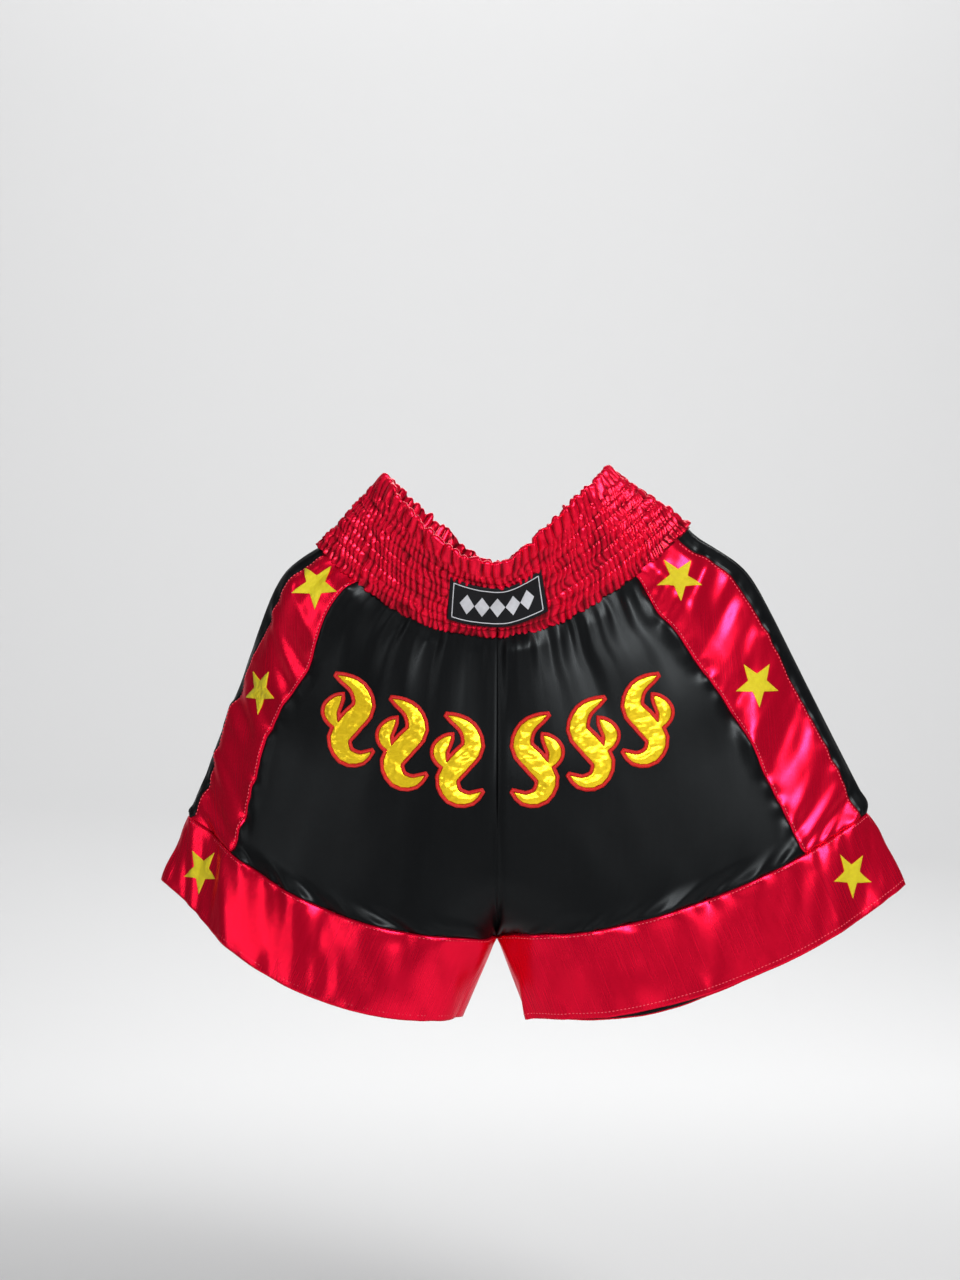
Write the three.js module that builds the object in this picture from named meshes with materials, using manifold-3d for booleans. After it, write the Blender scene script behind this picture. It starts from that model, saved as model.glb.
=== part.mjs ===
import * as THREE from "three";
import { mergeVertices } from "three/addons/utils/BufferGeometryUtils.js";
import Module from "manifold-3d";

// Thai-style boxing shorts, as they hang with a coat hanger's arms through the waistband.
// Millimetres, +Z up, the front towards -Y. Left and right are the wearer's, so the left leg lies on +X.
// The origin is where a hanger carries the shorts: midway between the two raised sides of the waistband.

// ---- Cloth, layers and clearances ----
const cloth = 0.8; // satin panel with its interlining
const seamGap = 0.4; // between the edges of two panels that are sewn together
const layerGap = 0.4; // between two layers that lie on each other
const patchThickness = 0.9; // embroidered stars, appliques and the woven label
const seamWidth = 9; // overlocked seam allowance inside the shell

// ---- Waistband ----
const elasticRows = 7;
const elasticWidth = 5;
const elasticThickness = 1;
const casingGap = 0.8; // between an elastic and the gathered casing on each side of it
const casingMargin = 5; // the shell's edge reaches this far up between the waistband's layers
const waistCentre = { frontY: -38, backY: 34, frontZ: -120, backZ: -112 }; // waist seam at the centre
const topCentre = { frontY: -76, backY: 62, frontZ: -70, backZ: -67 }; // waistband's upper edge there

// ---- Shell ----
const crotch = { y: 5, z: -342 };
const hipFrontY = -46;
const hipBackY = 52;
const hemHeight = 61;
const facingDrop = 2; // from the hem band's seam down to the facing behind it
const stripeWidth = 55;
const shoulder = { share: 0.27, spread: 0.2 }; // where the stripe is broad, down its length
const crotchCurveStart = 0.6; // share of the front's length where the seat starts to curve under
const seatCurve = 2.5; // the higher, the sharper the curve under the seat
const innerRoll = 0.3; // share of a leg's width over which its inner side rounds

// ---- Each half, from the front. The fold is the outer edge where the front turns into the back ----
const halves = {
  left: {
    sign: 1,
    peak: { x: 82, z: 1 },
    waist: { x: 141, z: -38.5 },
    shoulder: { x: 187, z: -65 },
    hem: { x: 305, z: -305 },
    innerHemX: 22,
    foldY: 10,
    depthPower: 2, // how late the cloth turns back towards the fold
    topPower: { front: 0.95, back: 1.1 },
    waistPower: 1.7,
    hemPower: 2.1,
    hemAtFold: 61,
    toFold: { top: 20, bottom: 16 }, // back panel that shows in front, beside the stripe
    gathered: { by: 12, until: 0.16 }, // the stripe is gathered in at the waist
    broadBy: 8,
    backSag: 14, // the back of the leg hangs this much lower at most
  },
  right: {
    sign: -1,
    peak: { x: 83, z: -4 },
    waist: { x: 132, z: -54 },
    shoulder: { x: 162, z: -70 },
    hem: { x: 249, z: -307 },
    innerHemX: 25,
    foldY: 55,
    depthPower: 4,
    topPower: { front: 2, back: 1 },
    waistPower: 2.1,
    hemPower: 2.5,
    hemAtFold: 53,
    toFold: { top: 13, bottom: 10 },
    gathered: { by: 20, until: 0.4 },
    broadBy: 0,
    backSag: 2,
  },
};
const shoulderRadius = 18;

// ---- Decoration ----
const starRadius = 18;
const starNotch = 7.5; // radius between a star's points
const stripeStars = { upper: 0.1, middle: 0.5 }; // down the stripe, as shares of its length
const label = { halfWidth: 35, bottom: 7, height: 35 };
const borderWidth = 2.2; // satin stitch round each applique
const flameHalfWidth = 7;
const leafHalfWidth = 4.5;
const tipMiter = 2.5; // how far the border's points reach past the satin's
const flames = {
  inner: { x: 12, z: -241 },
  middle: { x: 53, z: -229 },
  outer: { x: 93, z: -212 },
};
const flameLine = [[0, 6], [9, 1], [20, 4], [24, 16], [15, 28], [6, 39], [10, 53], [24, 62]];
const leafLine = [[26, 24], [30, 36], [22, 47]];

// ---- Rows and columns of the cloth ----
const frontColumns = 5;
const stripeColumns = 2;
const backColumns = 7;
const shellRows = 10;
const hemRows = 2;

const wasm = await Module();
wasm.setup();

const lerp = (a, b, t) => a + (b - a) * t;
const smooth = (a, b, t) => THREE.MathUtils.smoothstep(t, a, b);

// q to a power, rounded off near the centre line so that both halves meet without a kink.
function softPower(q, power) {
  const round = 0.15;
  const at = (t) => Math.pow(t * t + round * round, power / 2) - Math.pow(round, power);
  return at(q) / at(1);
}

// The fold line down a half: straight to the shoulder, round it, and straight to the hem.
function foldLengths(half) {
  const upper = Math.hypot(half.shoulder.x - half.waist.x, half.shoulder.z - half.waist.z);
  const lower = Math.hypot(half.hem.x - half.shoulder.x, half.hem.z - half.shoulder.z);
  return { upper, lower, whole: upper + lower };
}

function foldPoint(half, v) {
  const { upper, lower, whole } = foldLengths(half);
  const past = v * whole - upper;
  const after = (past + Math.hypot(past, shoulderRadius)) / 2;
  const before = v * whole - after;
  const along = (key) =>
    half.waist[key] +
    ((half.shoulder[key] - half.waist[key]) * before) / upper +
    ((half.hem[key] - half.shoulder[key]) * after) / lower;
  return { x: along("x"), z: along("z") };
}

const centreHemZ = crotch.z - hemHeight;
const frontLength = waistCentre.frontZ - centreHemZ;
const crotchV = 1 - hemHeight / frontLength;
const crotchGap = (cloth + seamGap) / 2; // from the middle to each leg's cloth, where the legs part

// A point of the shell at height share v (0 waist seam, 1 hem edge) and angle round from the centre line
// (0) to the fold (a quarter turn), in front or at the back.
function sectionPoint(half, v, angle, back) {
  const q = Math.sin(angle);
  const fold = foldPoint(half, v);
  const centreZ = lerp(back ? waistCentre.backZ : waistCentre.frontZ, centreHemZ, v);
  const sag = back ? half.backSag * 6.75 * q * (1 - q) ** 2 * v : 0;
  const parting = crotchGap * smooth(crotchCurveStart - 0.1, crotchCurveStart, v);
  const innerX = lerp(parting, half.innerHemX, Math.max(0, (v - crotchV) / (1 - crotchV)));
  const power = lerp(half.waistPower, half.hemPower, v);
  const curve = THREE.MathUtils.clamp((v - crotchCurveStart) / (crotchV - crotchCurveStart), 0, 1);
  const seat = 1 - curve ** seatCurve;
  const roll = Math.sqrt(1 - Math.pow(1 - Math.min(q / innerRoll, 1), 2));
  const centreY = back
    ? lerp(waistCentre.backY, hipBackY, smooth(0, 0.4, v))
    : lerp(waistCentre.frontY, hipFrontY, smooth(0, 0.4, v));
  const bulge = (centreY - crotch.y) * Math.cos(angle) * lerp(roll, 1, seat);
  const foldY = half.foldY * smooth(0.1, 0.5, v);
  return new THREE.Vector3(
    half.sign * (innerX + (fold.x - innerX) * q),
    lerp(crotch.y, foldY, q ** half.depthPower) + bulge,
    centreZ + (fold.z - centreZ) * softPower(q, power) - sag,
  );
}

// The waistband's upper edge, at the same angle.
function topPoint(half, angle, back) {
  const q = Math.sin(angle);
  const centreZ = back ? topCentre.backZ : topCentre.frontZ;
  const power = back ? half.topPower.back : half.topPower.front;
  return new THREE.Vector3(
    half.sign * half.peak.x * q,
    (back ? topCentre.backY : topCentre.frontY) * Math.cos(angle),
    centreZ + (half.peak.z - centreZ) * softPower(q, power),
  );
}

// Angle at a share of the way along a section, measured on the cloth.
const measured = new Map();
function measure(key, pointAt) {
  if (!measured.has(key)) {
    const steps = 48;
    const lengths = [0];
    for (let i = 1; i <= steps; i++) {
      const here = pointAt((i / steps) * (Math.PI / 2));
      const before = pointAt(((i - 1) / steps) * (Math.PI / 2));
      lengths.push(lengths[i - 1] + here.distanceTo(before));
    }
    measured.set(key, lengths);
  }
  return measured.get(key);
}

function angleAt(lengths, share) {
  const steps = lengths.length - 1;
  const wanted = share * lengths[steps];
  let i = 0;
  while (i < steps - 1 && lengths[i + 1] < wanted) i++;
  const within = (wanted - lengths[i]) / (lengths[i + 1] - lengths[i]);
  return ((i + within) / steps) * (Math.PI / 2);
}

const sectionLengths = (half, v, back) =>
  measure(`${half.sign} ${v} ${back}`, (angle) => sectionPoint(half, v, angle, back));

const widthOf = (half, v) => sectionLengths(half, v, false).at(-1);

// The shell by cloth coordinates: round 0 is the centre front, 1 the fold and 2 the centre back.
function shellPoint(half, round, v) {
  const back = round > 1;
  const share = back ? 2 - round : round;
  return sectionPoint(half, v, angleAt(sectionLengths(half, v, back), share), back);
}

// The waistband: up 0 is the waist seam and 1 the upper edge.
function bandPoint(half, round, up) {
  const back = round > 1;
  const lengths = measure(`top ${half.sign} ${back}`, (angle) => topPoint(half, angle, back));
  const top = topPoint(half, angleAt(lengths, back ? 2 - round : round), back);
  return shellPoint(half, round, 0).lerp(top, up);
}

// The outward normal of either surface. along and down are small steps that stay on the surface.
function outward(half, surface, round, down, downward) {
  const step = 1e-3;
  const here = THREE.MathUtils.clamp(round, step, 2 - step);
  const acrossFrom = surface(half, here - step, down);
  const across = surface(half, here + step, down).sub(acrossFrom);
  const lengthFrom = surface(half, here, down - step);
  const length = surface(half, here, down + step).sub(lengthFrom);
  const normal = length.cross(across).normalize();
  return normal.multiplyScalar(half.sign * downward);
}

const shellNormal = (half, round, v) => outward(half, shellPoint, round, Math.max(v, 0.002), 1);
const bandNormal = (half, round, up) => outward(half, bandPoint, round, up, -1);

// ---- Seam lines ----
// Widths are taken at a share of the shell's own length, which ends at the hem band.
const shellWidth = (half, share) => widthOf(half, share * crotchV);
const toFold = (half, share) => lerp(half.toFold.top, half.toFold.bottom, share);
const stripeBack = (half, share) => 1 - toFold(half, share) / shellWidth(half, share);

function stripeFront(half, share) {
  const gather = half.gathered.by * (1 - smooth(0, half.gathered.until, share));
  const broad = half.broadBy * Math.exp(-(((share - shoulder.share) / shoulder.spread) ** 2));
  return 1 - (toFold(half, share) + stripeWidth - gather + broad) / shellWidth(half, share);
}

function hemSeam(half, round) {
  const q = Math.min(round, 2 - round);
  return 1 - lerp(hemHeight, half.hemAtFold, q * q) / lerp(frontLength, foldLengths(half).whole, q * q);
}

// Column lines round a half, from the centre front to the centre back. Every layer uses the same lines.
const frontEnd = frontColumns + 2;
const stripeEnd = frontEnd + stripeColumns + 2;
const foldLine = stripeEnd + 2;
const backEnd = foldLine + backColumns + 1;

function columnLines(half, share) {
  const allowance = seamWidth / 2 / shellWidth(half, share);
  const front = stripeFront(half, share);
  const back = stripeBack(half, share);
  const stops = [
    [allowance, 1],
    [front - allowance, frontColumns],
    [front, 1],
    [front + allowance, 1],
    [back - allowance, stripeColumns],
    [back, 1],
    [back + allowance, 1],
    [1, 1],
    [2 - allowance, backColumns],
    [2, 1],
  ];
  const lines = [0];
  for (const [to, steps] of stops) {
    const from = lines.at(-1);
    for (let k = 1; k <= steps; k++) lines.push(lerp(from, to, k / steps));
  }
  return lines;
}

const stationCache = new Map();
function station(half, line, share) {
  const key = `${half.sign} ${share}`;
  if (!stationCache.has(key)) stationCache.set(key, columnLines(half, share));
  return stationCache.get(key)[line];
}

// ---- Solids ----
// Merges a mesh's shared points, and turns it the right way out if its mapping mirrored it.
function closed(geometry) {
  geometry.deleteAttribute("normal");
  geometry.deleteAttribute("uv");
  const merged = mergeVertices(geometry, 1e-4);
  const p = merged.getAttribute("position");
  const index = merged.index.array;
  const corner = (k) => new THREE.Vector3().fromBufferAttribute(p, index[k]);
  let volume = 0;
  for (let k = 0; k < index.length; k += 3) {
    volume += corner(k).dot(corner(k + 1).cross(corner(k + 2)));
  }
  if (volume < 0) {
    for (let k = 0; k < index.length; k += 3) {
      [index[k], index[k + 1]] = [index[k + 1], index[k]];
    }
  }
  return merged;
}

// A sheet of cloth: a box whose points are placed by place(column, row, out), with out 0 or 1.
// The box splits its two broad faces along opposite diagonals. Here the last face is split as the
// first is, so that twisted layers stay parallel.
function sheet(columns, rows, place) {
  const box = new THREE.BoxGeometry(columns, rows, 1, columns, rows, 1);
  const index = box.index.array;
  const face = box.groups.at(-1);
  for (let k = face.start; k < face.start + face.count; k += 6) {
    const [a, b, d, , c] = index.slice(k, k + 6);
    index.set([a, b, c, a, c, d], k);
  }
  const p = box.getAttribute("position");
  for (let k = 0; k < p.count; k++) {
    const column = Math.round(p.getX(k) + columns / 2);
    const row = Math.round(rows / 2 - p.getY(k));
    const at = place(column, row, p.getZ(k) + 0.5);
    p.setXYZ(k, at.x, at.y, at.z);
  }
  return closed(box);
}

function solidOf(geometry) {
  return new wasm.Manifold(
    new wasm.Mesh({
      numProp: 3,
      vertProperties: new Float32Array(geometry.getAttribute("position").array),
      triVerts: new Uint32Array(geometry.index.array),
    }),
  );
}

function geometryOf(solid) {
  const mesh = solid.getMesh();
  const geometry = new THREE.BufferGeometry();
  geometry.setAttribute("position", new THREE.BufferAttribute(new Float32Array(mesh.vertProperties), 3));
  geometry.setIndex(new THREE.BufferAttribute(new Uint32Array(mesh.triVerts), 1));
  return geometry;
}

// A straight prism on an outline, across the plane through origin with the axes right and up.
function prism(outline, origin, right, up) {
  const depth = 60;
  const geometry = new THREE.ExtrudeGeometry(new THREE.Shape(outline), { depth, bevelEnabled: false });
  geometry.translate(0, 0, -depth / 2);
  const out = new THREE.Vector3().crossVectors(right, up);
  geometry.applyMatrix4(new THREE.Matrix4().makeBasis(right, up, out).setPosition(origin));
  return solidOf(closed(geometry));
}

// ---- Layers, as offsets from the middle of the cloth ----
const main = { low: -cloth / 2, high: cloth / 2 };
const lining = { low: main.low - layerGap - cloth, high: main.low - layerGap };
const patch = { low: main.high + layerGap, high: main.high + layerGap + patchThickness };

const group = new THREE.Group();
const satin = { roughness: 0.35, metalness: 0 };
const thread = { roughness: 0.6, metalness: 0 };
const materials = {
  blackSatin: new THREE.MeshStandardMaterial({ color: 0x0b0b0d, ...satin }),
  redSatin: new THREE.MeshStandardMaterial({ color: 0xd0102c, ...satin }),
  goldSatin: new THREE.MeshStandardMaterial({ color: 0xf0c020, ...satin }),
  redThread: new THREE.MeshStandardMaterial({ color: 0xb01020, ...thread }),
  yellowThread: new THREE.MeshStandardMaterial({ color: 0xf4d428, ...thread }),
  elastic: new THREE.MeshStandardMaterial({ color: 0xe8e6e0, roughness: 0.8, metalness: 0 }),
  wovenLabel: new THREE.MeshStandardMaterial({ color: 0x0c0d10, roughness: 0.7, metalness: 0 }),
};

function add(name, geometry, material) {
  const mesh = new THREE.Mesh(geometry, material);
  mesh.name = name;
  group.add(mesh);
}

// ---- Shell ----
const bandHeight = (half, round) => bandPoint(half, round, 0).distanceTo(bandPoint(half, round, 1));

// facingV is the height whose normal is used: two edges that meet at a seam share one.
function onShell(half, round, v, offset, facingV = v) {
  return shellPoint(half, round, v).addScaledVector(shellNormal(half, round, facingV), offset);
}

function onBand(half, round, up, offset) {
  return bandPoint(half, round, up).addScaledVector(bandNormal(half, round, up), offset);
}

// A piece of the shell between two column lines. Its edges are trimmed for the seams.
function shellPiece(half, from, to, layer, rows, place) {
  return sheet(to - from, rows, (column, row, out) => {
    const trim = seamGap / 2 / shellWidth(half, 1);
    const inset = column === 0 ? trim : column === to - from ? -trim : 0;
    return place(from + column, inset, row, lerp(layer.low, layer.high, out));
  });
}

const bottomTrim = seamGap / 2 / frontLength;
const topTrim = (2 * layerGap) / frontLength; // from the waist seam to the layers under and over the shell

// Body panels run from inside the waistband down to the hem band.
function bodyPanel(half, from, to) {
  return shellPiece(half, from, to, main, shellRows + 1, (line, inset, row, offset) => {
    if (row === 0) {
      const round = station(half, line, 0) + inset;
      return onBand(half, round, casingMargin / bandHeight(half, round), offset);
    }
    const share = (row - 1) / shellRows;
    const round = station(half, line, share) + inset;
    const v = share * (hemSeam(half, round) - bottomTrim);
    return onShell(half, round, v, offset, share === 1 ? hemSeam(half, round) : v);
  });
}

// The same rows again, for what lies on the panels or under them.
function bodyLayer(half, from, to, layer, firstShare, lastShare) {
  const first = Math.round(firstShare * shellRows);
  const last = Math.round(lastShare * shellRows);
  return shellPiece(half, from, to, layer, last - first, (line, inset, row, offset) => {
    const share = (first + row) / shellRows;
    const round = station(half, line, share);
    const v = share * (hemSeam(half, round) - bottomTrim);
    const facing = share === 1 ? hemSeam(half, round) : v;
    return onShell(half, round, Math.max(v, topTrim), offset, facing);
  });
}

function hemPiece(half, from, to, layer, topGap) {
  return shellPiece(half, from, to, layer, hemRows, (line, inset, row, offset) => {
    const round = station(half, line, 1) + inset;
    const seam = hemSeam(half, round);
    const v = lerp(seam + topGap / frontLength, 1, row / hemRows);
    return onShell(half, round, v, offset, row === 0 ? seam : v);
  });
}

// The seam allowance down the middle, above the place where the seat curves under.
function centreSeam(centreLine, direction) {
  const rows = Math.floor(((crotchCurveStart - 0.1) / crotchV) * shellRows);
  return sheet(2, rows, (column, row, out) => {
    const half = column === 0 ? halves.right : halves.left;
    const share = row / shellRows;
    const round = station(half, column === 1 ? centreLine : centreLine + direction, share);
    const v = share * (hemSeam(half, round) - bottomTrim);
    const offset = lerp(lining.low, lining.high, out);
    return onShell(half, round, Math.max(v, topTrim), offset);
  });
}

for (const [side, half] of Object.entries(halves)) {
  add(`front_panel_${side}`, bodyPanel(half, 0, frontEnd), materials.blackSatin);
  add(`side_stripe_${side}`, bodyPanel(half, frontEnd, stripeEnd), materials.redSatin);
  add(`back_panel_${side}`, bodyPanel(half, stripeEnd, backEnd), materials.blackSatin);
  for (const [face, from, to] of [["front", 0, foldLine], ["back", foldLine, backEnd]]) {
    add(`hem_band_${face}_${side}`, hemPiece(half, from, to, main, seamGap / 2), materials.redSatin);
    add(`hem_facing_${face}_${side}`, hemPiece(half, from, to, lining, facingDrop), materials.blackSatin);
  }
  for (const [face, line] of [["front", frontEnd], ["back", stripeEnd]]) {
    const allowance = bodyLayer(half, line - 1, line + 1, lining, 0, 1);
    add(`side_seam_${face}_${side}`, allowance, materials.blackSatin);
  }
}
add("centre_seam_front", centreSeam(0, 1), materials.blackSatin);
add("centre_seam_back", centreSeam(backEnd, -1), materials.blackSatin);

// ---- Waistband ----
const wallOffset = elasticThickness / 2 + casingGap + cloth / 2;
const rowAt = (half, round, row) => {
  const height = bandHeight(half, round);
  return (casingMargin + ((height - 2 * casingMargin) * row) / elasticRows) / height;
};

// Column lines through both halves: from the right half's line to the centre, then out on the left.
function stationsAcross(centreLine, outerLine) {
  const lines = [];
  const step = Math.sign(outerLine - centreLine);
  for (let line = outerLine; line !== centreLine; line -= step) lines.push([halves.right, line]);
  for (let line = centreLine; line !== outerLine + step; line += step) lines.push([halves.left, line]);
  return lines.map(([half, line]) => ({ half, round: station(half, line, 0) }));
}

function bandSheet(stations, rows, place) {
  const last = stations.length - 1;
  return sheet(last, rows, (column, row, out) => {
    const { half, round } = stations[column];
    const trim = seamGap / 2 / widthOf(half, 0);
    const towards = column === 0 || column === last ? Math.sign(inward(stations) - round) * trim : 0;
    return place(half, round + towards, row, out);
  });
}
const inward = (stations) => stations[Math.floor(stations.length / 2)].round;

// One strip of satin, folded over the elastics: up outside, round the fold and down inside.
const wallRows = elasticRows + 2;
const foldRows = 3;
function casing(stations) {
  return bandSheet(stations, 2 * wallRows + foldRows, (half, round, row, out) => {
    const radius = wallOffset + lerp(-cloth / 2, cloth / 2, out);
    const turn = THREE.MathUtils.clamp(row - wallRows, 0, foldRows) / foldRows;
    const level = Math.min(row, 2 * wallRows + foldRows - row);
    const ups = (k) => (k <= 0 ? 0 : k >= wallRows ? 1 : rowAt(half, round, k - 1));
    const angle = turn * Math.PI;
    const upward = bandPoint(half, round, 1).sub(bandPoint(half, round, 0)).normalize();
    return onBand(half, round, ups(level), radius * Math.cos(angle)).addScaledVector(
      upward,
      radius * Math.sin(angle),
    );
  });
}

function elastic(index) {
  return bandSheet(stationsAcross(0, backEnd), 1, (half, round, row, out) => {
    const middle = rowAt(half, round, index + 0.5);
    const reach = ((row - 0.5) * elasticWidth) / bandHeight(half, round);
    return onBand(half, round, middle + reach, (out - 0.5) * elasticThickness);
  });
}

add("waistband_casing_front", casing(stationsAcross(0, foldLine)), materials.redSatin);
add("waistband_casing_back", casing(stationsAcross(backEnd, foldLine)), materials.redSatin);
for (let k = 0; k < elasticRows; k++) add(`elastic_row_${k + 1}`, elastic(k), materials.elastic);

// ---- Decoration ----
const ahead = new THREE.Vector3(1, 0, 0);
const upright = new THREE.Vector3(0, 0, 1);
const vectors = (points) => points.map(([x, y]) => new THREE.Vector2(x, y));

// The woven label lies on the band's outer wall, across the centre front.
function wovenLabel() {
  const height = bandHeight(halves.left, 0);
  const stations = stationsAcross(0, frontEnd);
  const low = wallOffset + cloth / 2 + layerGap;
  const slab = bandSheet(stations, elasticRows, (half, round, row, out) =>
    onBand(half, round, rowAt(half, round, row), lerp(low, low + patchThickness, out)),
  );
  const bottom = bandPoint(halves.left, 0, 0);
  const along = bandPoint(halves.left, 0, 1).sub(bottom).normalize();
  const corners = [
    [-label.halfWidth, 0],
    [label.halfWidth, 0],
    [label.halfWidth, label.height],
    [-label.halfWidth, label.height],
  ];
  const origin = bandPoint(halves.left, 0, label.bottom / height);
  return geometryOf(solidOf(slab).intersect(prism(vectors(corners), origin, ahead, along)));
}
add("waist_label", wovenLabel(), materials.wovenLabel);

// Five points, one of them straight down.
function starOutline() {
  const points = [];
  for (let k = 0; k < 10; k++) {
    const radius = k % 2 ? starNotch : starRadius;
    const angle = ((k / 5) * Math.PI) - Math.PI / 2;
    points.push([radius * Math.cos(angle), radius * Math.sin(angle)]);
  }
  return vectors(points);
}

// A star embroidered on a slab of the shell, upright and square to the cloth at its middle.
function star(half, slab, round, v) {
  const origin = shellPoint(half, round, v);
  const out = shellNormal(half, round, v);
  const right = new THREE.Vector3().crossVectors(upright, out).normalize();
  const outline = prism(starOutline(), origin, right, new THREE.Vector3().crossVectors(out, right));
  return geometryOf(solidOf(slab).intersect(outline));
}

// A brush stroke along a smooth line, pointed at both ends.
function brushStroke(points, halfWidth, mirror) {
  const line = new THREE.SplineCurve(vectors(points));
  const steps = 22;
  const sides = [1, -1].map((sign) => {
    const side = [];
    for (let k = 1; k < steps; k++) {
      const t = k / steps;
      const along = line.getTangentAt(t);
      const reach = sign * halfWidth * Math.sin(Math.PI * t) ** 0.7;
      side.push(line.getPointAt(t).add(new THREE.Vector2(-along.y, along.x).multiplyScalar(reach)));
    }
    return side;
  });
  const outline = [line.getPointAt(0), ...sides[0], line.getPointAt(1), ...sides[1].reverse()];
  return new wasm.CrossSection([outline.map((p) => [mirror * p.x, p.y])], "NonZero");
}

// A flame of two strokes, grown on every side, as a prism through the front.
function flamePrism(half, place, grow) {
  const strokes = brushStroke(flameLine, flameHalfWidth, half.sign).add(
    brushStroke(leafLine, leafHalfWidth, half.sign),
  );
  return strokes
    .offset(grow, "Miter", tipMiter)
    .simplify(0.05)
    .extrude(60, 0, 0, [1, 1], true)
    .rotate([90, 0, 0])
    .translate([half.sign * place.x, hipFrontY, place.z]);
}

for (const [side, half] of Object.entries(halves)) {
  const stripeSlab = bodyLayer(half, frontEnd, stripeEnd, patch, 0, 1);
  for (const [place, share] of Object.entries(stripeStars)) {
    const round = (stripeFront(half, share) + stripeBack(half, share)) / 2;
    const geometry = star(half, stripeSlab, round, share * hemSeam(half, round));
    add(`star_${place}_${side}`, geometry, materials.yellowThread);
  }
  const hemRound = (stripeFront(half, 1) + stripeBack(half, 1)) / 2;
  const hemSlab = hemPiece(half, 0, foldLine, patch, seamGap / 2);
  const hemStar = star(half, hemSlab, hemRound, (1 + hemSeam(half, hemRound)) / 2);
  add(`star_hem_${side}`, hemStar, materials.yellowThread);

  const panelSlab = solidOf(bodyLayer(half, 0, frontEnd, patch, 0, 1));
  for (const [place, at] of Object.entries(flames)) {
    const whole = flamePrism(half, at, 0);
    const ring = flamePrism(half, at, seamGap + borderWidth).subtract(flamePrism(half, at, seamGap));
    add(`flame_${place}_${side}`, geometryOf(panelSlab.intersect(whole)), materials.goldSatin);
    add(`flame_border_${place}_${side}`, geometryOf(panelSlab.intersect(ring)), materials.redThread);
  }
}

export default group;
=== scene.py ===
import math

import bmesh
import bpy
import numpy as np
from mathutils import Matrix, Vector
from mathutils.bvhtree import BVHTree
from mathutils.kdtree import KDTree


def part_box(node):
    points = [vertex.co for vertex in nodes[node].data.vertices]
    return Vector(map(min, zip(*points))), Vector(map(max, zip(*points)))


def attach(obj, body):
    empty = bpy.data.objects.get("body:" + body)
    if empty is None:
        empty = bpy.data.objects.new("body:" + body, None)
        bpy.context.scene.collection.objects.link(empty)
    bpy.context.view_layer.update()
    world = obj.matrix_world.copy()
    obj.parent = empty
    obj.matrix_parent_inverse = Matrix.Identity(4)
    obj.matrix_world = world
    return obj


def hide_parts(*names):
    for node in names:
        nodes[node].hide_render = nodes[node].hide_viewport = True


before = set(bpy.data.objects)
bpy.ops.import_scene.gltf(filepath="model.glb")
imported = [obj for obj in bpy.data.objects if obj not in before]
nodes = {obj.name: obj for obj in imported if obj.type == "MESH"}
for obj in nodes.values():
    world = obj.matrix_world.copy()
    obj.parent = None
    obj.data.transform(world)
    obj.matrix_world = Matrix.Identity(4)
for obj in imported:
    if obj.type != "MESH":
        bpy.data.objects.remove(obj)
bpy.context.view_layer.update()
mm = 0.001

# the pattern that both halves are laid on, in mm, as the CAD model has it
pattern = {
    "waist": {"frontY": -38, "backY": 34, "frontZ": -120, "backZ": -112},
    "top": {"frontY": -76, "backY": 62, "frontZ": -70, "backZ": -67},
    "crotchY": 5, "crotchZ": -342, "hipFrontY": -46, "hipBackY": 52,
    "hem": 61, "stripe": 55,
    "curveStart": 0.6, "seatCurve": 2.5, "innerRoll": 0.3, "shoulderRadius": 18,
    "casingMargin": 5, "rows": 7, "elastic": 5,
}
halves = {
    "left": {"sign": 1, "peak": (82, 1), "waist": (141, -38.5), "shoulder": (187, -65), "hem": (305, -305),
             "innerHemX": 22, "foldY": 10, "depthPower": 2, "topFront": 0.95, "topBack": 1.1, "waistPower": 1.7,
             "hemPower": 2.1, "hemAtFold": 61, "toFold": (20, 16), "gathered": (12, 0.16), "wide": 8, "sag": 14},
    "right": {"sign": -1, "peak": (83, -4), "waist": (132, -54), "shoulder": (162, -70), "hem": (249, -307),
              "innerHemX": 25, "foldY": 55, "depthPower": 4, "topFront": 2, "topBack": 1, "waistPower": 2.1,
              "hemPower": 2.5, "hemAtFold": 53, "toFold": (13, 10), "gathered": (20, 0.4), "wide": 0, "sag": 5},
}
frontLength = pattern["waist"]["frontZ"] - pattern["crotchZ"] + pattern["hem"]
crotchV = 1 - pattern["hem"] / frontLength


def mix(a, b, t):
    return a + (b - a) * t


def ease(a, b, t):
    t = np.clip((t - a) / (b - a), 0, 1)
    return t * t * (3 - 2 * t)


def softPower(q, power):
    def at(t):
        return (t * t + 0.15 ** 2) ** (power / 2) - 0.15 ** power

    return at(q) / at(1.0)


def foldLine(half, v):  # the outer edge of a half, from the waist seam round its shoulder to the hem
    upper = math.dist(half["waist"], half["shoulder"])
    lower = math.dist(half["shoulder"], half["hem"])
    past = v * (upper + lower) - upper
    after = (past + np.hypot(past, pattern["shoulderRadius"])) / 2
    before = v * (upper + lower) - after
    return [half["waist"][k] + (half["shoulder"][k] - half["waist"][k]) * before / upper
            + (half["hem"][k] - half["shoulder"][k]) * after / lower for k in (0, 1)]


def foldLength(half):
    return math.dist(half["waist"], half["shoulder"]) + math.dist(half["shoulder"], half["hem"])


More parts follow.
